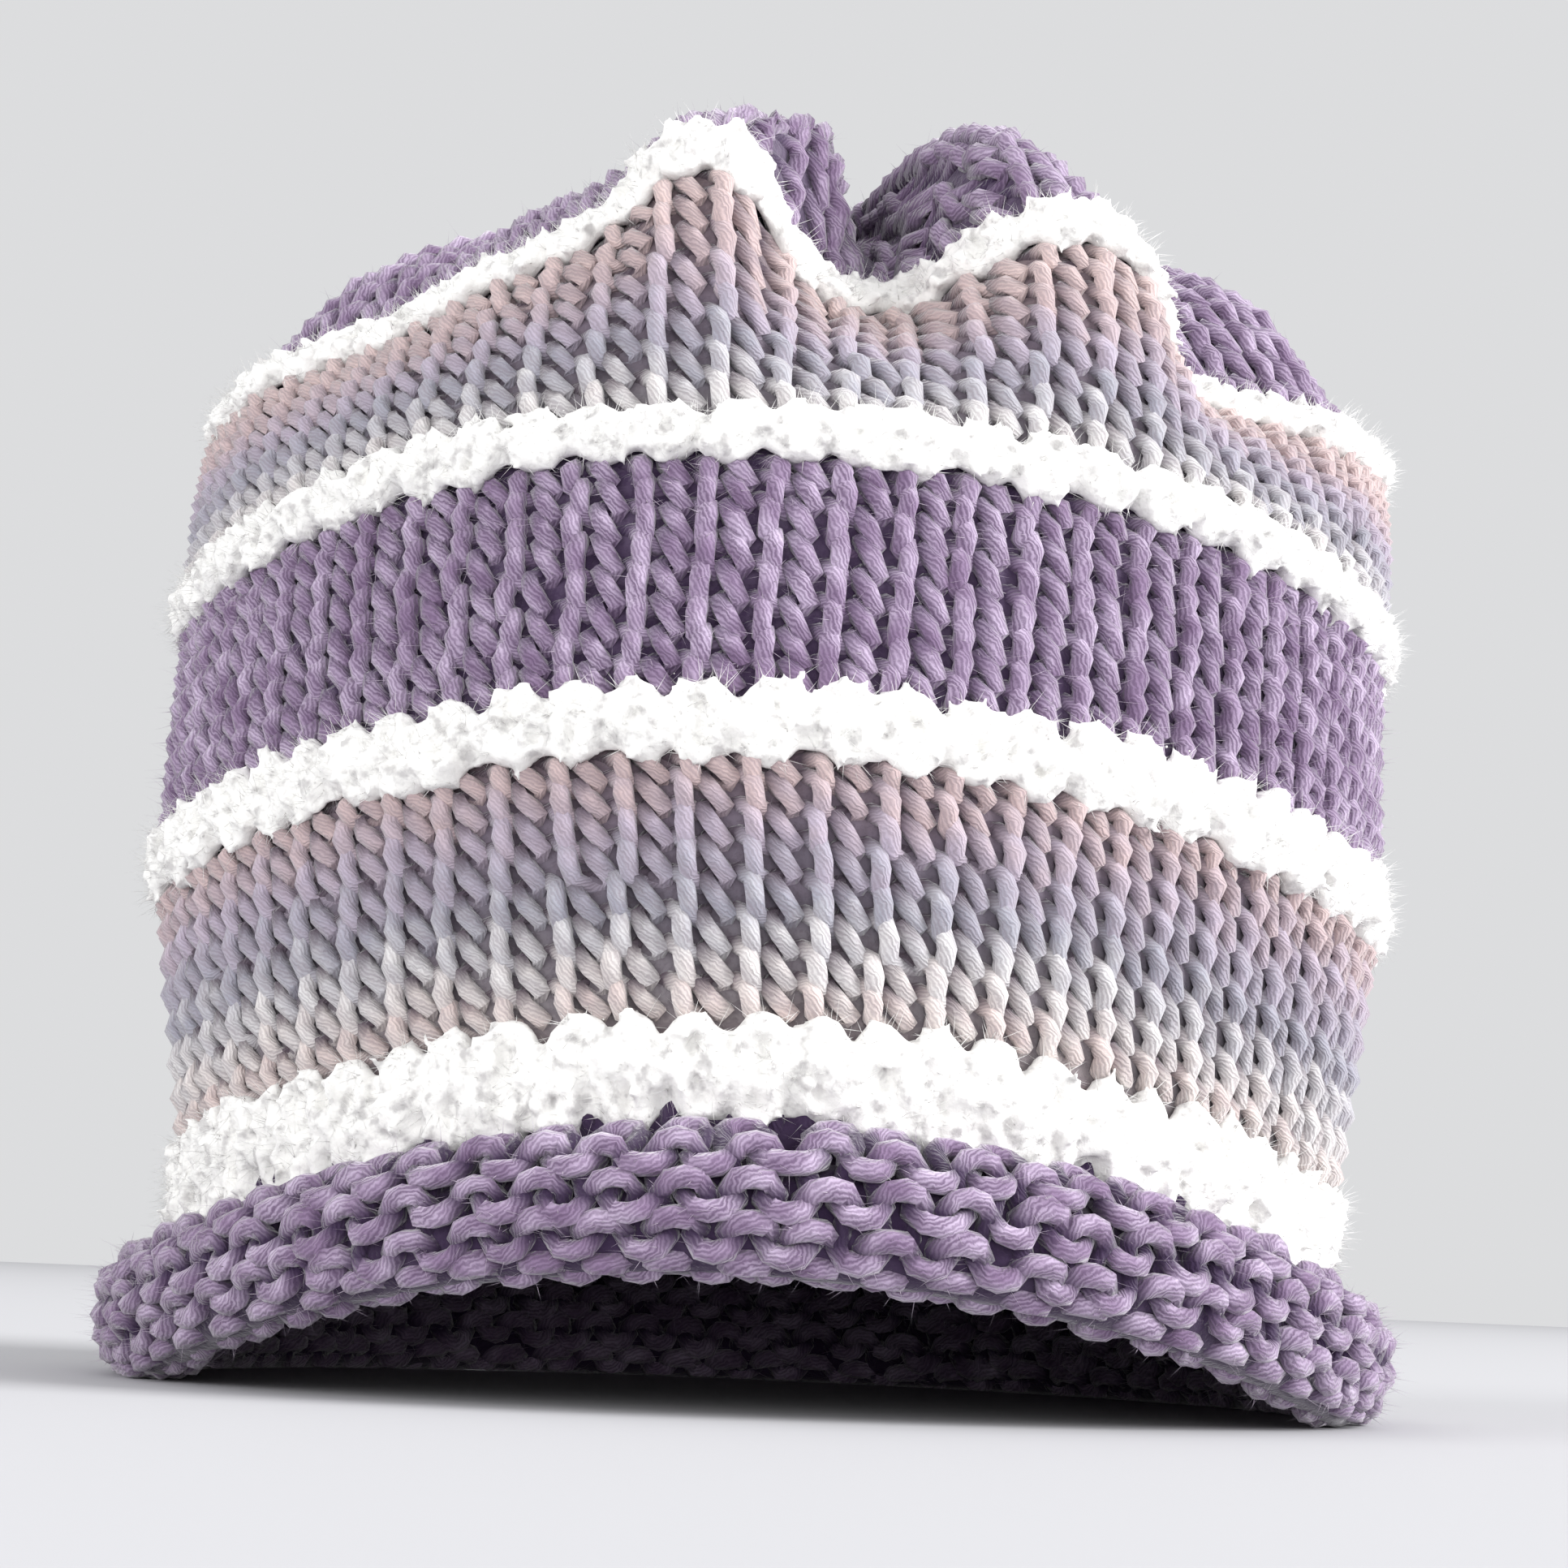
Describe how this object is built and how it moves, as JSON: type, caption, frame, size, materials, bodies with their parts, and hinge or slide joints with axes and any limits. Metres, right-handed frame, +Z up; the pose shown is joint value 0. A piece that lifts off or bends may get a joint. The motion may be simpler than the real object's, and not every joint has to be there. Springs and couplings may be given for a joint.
{
  "type": "slouchy beanie",
  "caption": "Slouchy hand-knitted hat striped in purple, marled taupe and fluffy white yarn, with a rolled brim and a gathered, folded crown.",
  "frame": {"origin": "on the floor, below the middle of the hat's width and depth, with the hat standing on its brim", "axes": "+Z up from the brim to the crown, -Y towards the front of the hat, +X to the right of someone looking at the front"},
  "size_m": [0.1964, 0.2196, 0.1903],
  "materials": {
    "purple_yarn": "soft slightly hairy knitted yarn",
    "marled_taupe_yarn": "smooth knitted yarn, its colour changing from beige to slate and lavender",
    "fluffy_white_yarn": "thick fluffy knitted yarn"
  },
  "bodies": {
    "root": {"brim": "purple_yarn", "white_stripe_1": "fluffy_white_yarn", "taupe_stripe_lower": "marled_taupe_yarn", "white_stripe_2": "fluffy_white_yarn", "purple_stripe": "purple_yarn", "white_stripe_3": "fluffy_white_yarn", "taupe_stripe_upper": "marled_taupe_yarn", "white_stripe_4": "fluffy_white_yarn", "crown": "purple_yarn"}
  },
  "joints": []
}
